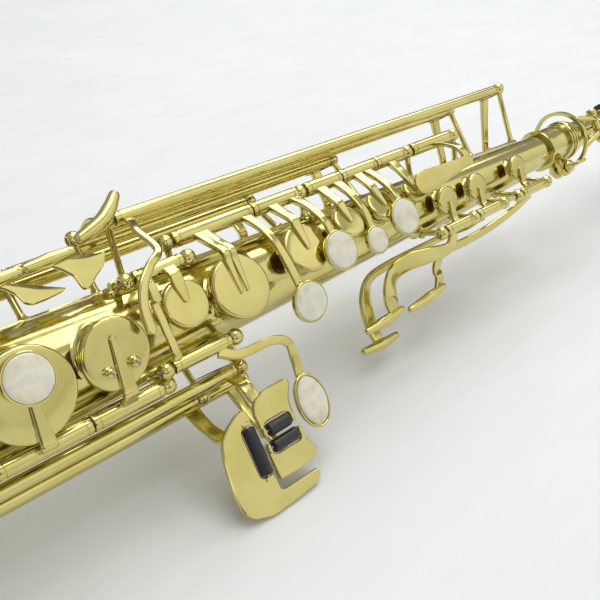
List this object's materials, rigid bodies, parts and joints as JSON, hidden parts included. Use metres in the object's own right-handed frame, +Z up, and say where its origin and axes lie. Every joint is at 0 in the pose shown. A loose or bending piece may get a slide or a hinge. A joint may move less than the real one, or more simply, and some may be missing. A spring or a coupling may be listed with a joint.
{
  "type": "soprano saxophone",
  "caption": "Straight soprano saxophone in gold lacquered brass with working keys, pearl touches, neck and mouthpiece, lying on its left side.",
  "frame": {"origin": "middle of the bounding box, on the surface the instrument lies on", "axes": "+Y along the bore from the bell to the mouthpiece, +Z up as it lies on its left side"},
  "size_m": [0.101, 0.702, 0.0937],
  "materials": {
    "lacquered_brass": "polished clear lacquer",
    "pearl": "polished mother of pearl",
    "roller": "gloss black",
    "ebonite": "polished hard rubber",
    "cork": "waxed cork",
    "cane": "bare cane"
  },
  "bodies": {
    "saxophone": {"body_tube": "lacquered_brass", "bell": "lacquered_brass", "upper_stack_rib": "lacquered_brass", "lower_stack_rib": "lacquered_brass", "side_key_rib": "lacquered_brass", "left_key_rib": "lacquered_brass", "palm_key_rib": "lacquered_brass", "octave_rib": "lacquered_brass", "right_pinky_rib": "lacquered_brass", "neck_receiver": "lacquered_brass", "thumb_hook": "lacquered_brass", "thumb_rest": "ebonite", "strap_ring": "lacquered_brass", "bell_key_guard": "lacquered_brass", "low_c_guard": "lacquered_brass"},
    "neck": {"neck_tube": "lacquered_brass", "neck_cork": "cork"},
    "mouthpiece": {"mouthpiece": "ebonite", "reed": "cane", "ligature": "lacquered_brass"},
    "g_key": {"g_key": "lacquered_brass", "g_pearl": "pearl"},
    "a_key": {"a_key": "lacquered_brass", "a_pearl": "pearl"},
    "bis_key": {"bis_key": "lacquered_brass", "bis_pearl": "pearl"},
    "b_key": {"b_key": "lacquered_brass", "b_pearl": "pearl"},
    "c_key": {"c_key": "lacquered_brass"},
    "f_key": {"f_key": "lacquered_brass", "f_pearl": "pearl"},
    "e_key": {"e_key": "lacquered_brass", "e_pearl": "pearl"},
    "d_key": {"d_key": "lacquered_brass", "d_pearl": "pearl"},
    "f_sharp_key": {"f_sharp_key": "lacquered_brass"},
    "low_b_key": {"low_b_key": "lacquered_brass"},
    "low_b_flat_key": {"low_b_flat_key": "lacquered_brass"},
    "low_c_key": {"low_c_key": "lacquered_brass"},
    "g_sharp_key": {"g_sharp_key": "lacquered_brass"},
    "low_c_sharp_key": {"low_c_sharp_key": "lacquered_brass"},
    "e_flat_key": {"e_flat_key": "lacquered_brass"},
    "side_b_flat_key": {"side_b_flat_key": "lacquered_brass"},
    "side_c_key": {"side_c_key": "lacquered_brass"},
    "high_e_key": {"high_e_key": "lacquered_brass"},
    "high_f_sharp_key": {"high_f_sharp_key": "lacquered_brass"},
    "palm_d_key": {"palm_d_key": "lacquered_brass"},
    "palm_e_flat_key": {"palm_e_flat_key": "lacquered_brass"},
    "palm_f_key": {"palm_f_key": "lacquered_brass"},
    "body_octave_key": {"body_octave_key": "lacquered_brass"},
    "g_sharp_lever": {"g_sharp_lever": "lacquered_brass", "g_sharp_pearl": "pearl"},
    "front_f_key": {"front_f_key": "lacquered_brass"},
    "octave_thumb_lever": {"octave_thumb_lever": "lacquered_brass"},
    "neck_octave_key": {"neck_octave_key": "lacquered_brass"},
    "neck_screw": {"neck_screw": "lacquered_brass"},
    "short_roller": {"short_roller": "roller"},
    "long_roller": {"long_roller": "roller"},
    "e_flat_roller": {"e_flat_roller": "roller"},
    "upper_roller": {"upper_roller": "roller"}
  },
  "joints": [
    {"name": "neck_turn", "type": "hinge", "parent": "saxophone", "child": "neck", "pos_m": [-0.00402, 0.234, 0.04716], "axis": [0, 1, 0], "range_deg": [-20, 20]},
    {"name": "mouthpiece_slide", "type": "slide", "parent": "neck", "child": "mouthpiece", "axis": [0, 1, 0], "range_m": [-0.002, 0.004]},
    {"name": "g_key_hinge", "type": "hinge", "parent": "saxophone", "child": "g_key", "pos_m": [-0.00889, 0.02245, 0.07016], "axis": [0, 1, 0], "range_deg": [0, 6.44], "stiffness_Nm_per_rad": 0.03, "springref_deg": -20.05},
    {"name": "a_key_hinge", "type": "hinge", "parent": "saxophone", "child": "a_key", "pos_m": [-0.00889, 0.04925, 0.07016], "axis": [0, 1, 0], "range_deg": [0, 6.4], "stiffness_Nm_per_rad": 0.03, "springref_deg": -20.05},
    {"name": "bis_key_hinge", "type": "hinge", "parent": "saxophone", "child": "bis_key", "pos_m": [-0.00889, 0.0732, 0.07016], "axis": [0, 1, 0], "range_deg": [0, 6.48], "stiffness_Nm_per_rad": 0.03, "springref_deg": -20.05},
    {"name": "b_key_hinge", "type": "hinge", "parent": "saxophone", "child": "b_key", "pos_m": [-0.00889, 0.0919, 0.07016], "axis": [0, 1, 0], "range_deg": [0, 6.44], "stiffness_Nm_per_rad": 0.03, "springref_deg": -20.05},
    {"name": "c_key_hinge", "type": "hinge", "parent": "saxophone", "child": "c_key", "pos_m": [-0.00889, 0.1104, 0.07016], "axis": [0, 1, 0], "range_deg": [0, 6.08], "stiffness_Nm_per_rad": 0.03, "springref_deg": -20.05},
    {"name": "f_key_hinge", "type": "hinge", "parent": "saxophone", "child": "f_key", "pos_m": [0.01856, -0.0569, 0.04064], "axis": [0, 1, 0], "range_deg": [-8.98, 0], "stiffness_Nm_per_rad": 0.03, "springref_deg": 20.05},
    {"name": "e_key_hinge", "type": "hinge", "parent": "saxophone", "child": "e_key", "pos_m": [0.01856, -0.08985, 0.04064], "axis": [0, 1, 0], "range_deg": [-9.01, 0], "stiffness_Nm_per_rad": 0.03, "springref_deg": 20.05},
    {"name": "d_key_hinge", "type": "hinge", "parent": "saxophone", "child": "d_key", "pos_m": [0.01856, -0.1189, 0.04064], "axis": [0, 1, 0], "range_deg": [-9.35, 0], "stiffness_Nm_per_rad": 0.03, "springref_deg": 20.05},
    {"name": "f_sharp_key_hinge", "type": "hinge", "parent": "saxophone", "child": "f_sharp_key", "pos_m": [0.01856, -0.0313, 0.04064], "axis": [0, 1, 0], "range_deg": [-8.56, 0], "stiffness_Nm_per_rad": 0.03, "springref_deg": 20.05},
    {"name": "low_b_key_hinge", "type": "hinge", "parent": "saxophone", "child": "low_b_key", "pos_m": [0.00906, -0.1195, 0.01961], "axis": [0, 1, 0], "range_deg": [0, 11.79], "stiffness_Nm_per_rad": 0.03, "springref_deg": -20.05},
    {"name": "low_b_flat_key_hinge", "type": "hinge", "parent": "saxophone", "child": "low_b_flat_key", "pos_m": [0.01386, -0.144, 0.02492], "axis": [0, 1, 0], "range_deg": [0, 10.05], "stiffness_Nm_per_rad": 0.03, "springref_deg": -20.05},
    {"name": "low_c_key_hinge", "type": "hinge", "parent": "saxophone", "child": "low_c_key", "pos_m": [-0.00434, -0.1783, 0.07221], "axis": [0, 1, 0], "range_deg": [0, 11.27], "stiffness_Nm_per_rad": 0.03, "springref_deg": -20.05},
    {"name": "g_sharp_key_hinge", "type": "hinge", "parent": "saxophone", "child": "g_sharp_key", "pos_m": [0.00053, -0.00565, 0.0682], "axis": [0, 1, 0], "range_deg": [-11.5, 0], "stiffness_Nm_per_rad": 0.03, "springref_deg": 20.05},
    {"name": "low_c_sharp_key_hinge", "type": "hinge", "parent": "saxophone", "child": "low_c_sharp_key", "pos_m": [0.01639, -0.1105, 0.03168], "axis": [0, 1, 0], "range_deg": [0, 9.52], "stiffness_Nm_per_rad": 0.03, "springref_deg": -20.05},
    {"name": "e_flat_key_hinge", "type": "hinge", "parent": "saxophone", "child": "e_flat_key", "pos_m": [-0.00434, -0.1501, 0.07221], "axis": [0, 1, 0], "range_deg": [0, 10.34], "stiffness_Nm_per_rad": 0.03, "springref_deg": -20.05},
    {"name": "side_b_flat_key_hinge", "type": "hinge", "parent": "saxophone", "child": "side_b_flat_key", "pos_m": [-0.03198, -0.004, 0.06029], "axis": [0, 1, 0], "range_deg": [0, 8.66], "stiffness_Nm_per_rad": 0.03, "springref_deg": -20.05},
    {"name": "side_c_key_hinge", "type": "hinge", "parent": "saxophone", "child": "side_c_key", "pos_m": [-0.03067, 0.0295, 0.06616], "axis": [0, 1, 0], "range_deg": [0, 6.37], "stiffness_Nm_per_rad": 0.03, "springref_deg": -20.05},
    {"name": "high_e_key_hinge", "type": "hinge", "parent": "saxophone", "child": "high_e_key", "pos_m": [-0.02797, 0.0785, 0.07181], "axis": [0, 1, 0], "range_deg": [0, 4.68], "stiffness_Nm_per_rad": 0.03, "springref_deg": -20.05},
    {"name": "high_f_sharp_key_hinge", "type": "hinge", "parent": "saxophone", "child": "high_f_sharp_key", "pos_m": [-0.02369, 0.0995, 0.07613], "axis": [0, 1, 0], "range_deg": [0, 3.9], "stiffness_Nm_per_rad": 0.03, "springref_deg": -20.05},
    {"name": "palm_d_key_hinge", "type": "hinge", "parent": "saxophone", "child": "palm_d_key", "pos_m": [0.01685, 0.1263, 0.04489], "axis": [0, 1, 0], "range_deg": [0, 12.55], "stiffness_Nm_per_rad": 0.03, "springref_deg": -20.05},
    {"name": "palm_e_flat_key_hinge", "type": "hinge", "parent": "saxophone", "child": "palm_e_flat_key", "pos_m": [0.01685, 0.1477, 0.04489], "axis": [0, 1, 0], "range_deg": [0, 12.01], "stiffness_Nm_per_rad": 0.03, "springref_deg": -20.05},
    {"name": "palm_f_key_hinge", "type": "hinge", "parent": "saxophone", "child": "palm_f_key", "pos_m": [0.01685, 0.181, 0.04489], "axis": [0, 1, 0], "range_deg": [0, 11.46], "stiffness_Nm_per_rad": 0.03, "springref_deg": -20.05},
    {"name": "body_octave_key_hinge", "type": "hinge", "parent": "saxophone", "child": "body_octave_key", "pos_m": [-0.01016, 0.144, 0.02917], "axis": [0, 1, 0], "range_deg": [-5.59, 0], "stiffness_Nm_per_rad": 0.03, "springref_deg": 20.05},
    {"name": "g_sharp_lever_hinge", "type": "hinge", "parent": "saxophone", "child": "g_sharp_lever", "pos_m": [0.01823, -0.0042, 0.04571], "axis": [0, 1, 0], "range_deg": [0, 8], "stiffness_Nm_per_rad": 0.03, "springref_deg": -20.05},
    {"name": "front_f_key_hinge", "type": "hinge", "parent": "saxophone", "child": "front_f_key", "pos_m": [-0.00889, 0.1367, 0.07016], "axis": [0, 1, 0], "range_deg": [0, 6], "stiffness_Nm_per_rad": 0.03, "springref_deg": -20.05},
    {"name": "octave_thumb_lever_hinge", "type": "hinge", "parent": "saxophone", "child": "octave_thumb_lever", "pos_m": [-0.01912, 0.1545, 0.03134], "axis": [0, 1, 0], "range_deg": [0, 6], "stiffness_Nm_per_rad": 0.03, "springref_deg": -20.05},
    {"name": "neck_octave_hinge", "type": "hinge", "parent": "neck", "child": "neck_octave_key", "pos_m": [0.00539, 0.256, 0.05395], "axis": [0.585, 0, -0.8111], "range_deg": [0, 6], "stiffness_Nm_per_rad": 0.03, "springref_deg": -20.05},
    {"name": "neck_screw_turn", "type": "hinge", "parent": "saxophone", "child": "neck_screw", "pos_m": [0.00358, 0.2306, 0.03662], "axis": [0.8111, 0, 0.585], "range_deg": [0, 270]},
    {"name": "short_roller_spin", "type": "hinge", "parent": "low_b_key", "child": "short_roller", "pos_m": [0.03942, 0.0104, 0.01599], "axis": [0, 1, 0], "continuous": true},
    {"name": "long_roller_spin", "type": "hinge", "parent": "low_b_flat_key", "child": "long_roller", "pos_m": [0.0386, -0.0004, 0.01712], "axis": [0.585, 0, -0.8111], "continuous": true},
    {"name": "e_flat_roller_spin", "type": "hinge", "parent": "e_flat_key", "child": "e_flat_roller", "pos_m": [0.01521, -0.1508, 0.06597], "axis": [0.585, 0, -0.8111], "continuous": true},
    {"name": "upper_roller_spin", "type": "hinge", "parent": "low_c_sharp_key", "child": "upper_roller", "pos_m": [0.03632, 0.0104, 0.02028], "axis": [0, 1, 0], "continuous": true}
  ],
  "couplings": [
    {"joint": "c_key_hinge", "follows": "b_key_hinge", "ratio": 0.9435},
    {"joint": "f_sharp_key_hinge", "follows": "f_key_hinge", "ratio": 0.9527},
    {"joint": "g_sharp_key_hinge", "follows": "g_sharp_lever_hinge", "ratio": -1.4371},
    {"joint": "neck_octave_hinge", "follows": "octave_thumb_lever_hinge", "ratio": 0.9995}
  ]
}
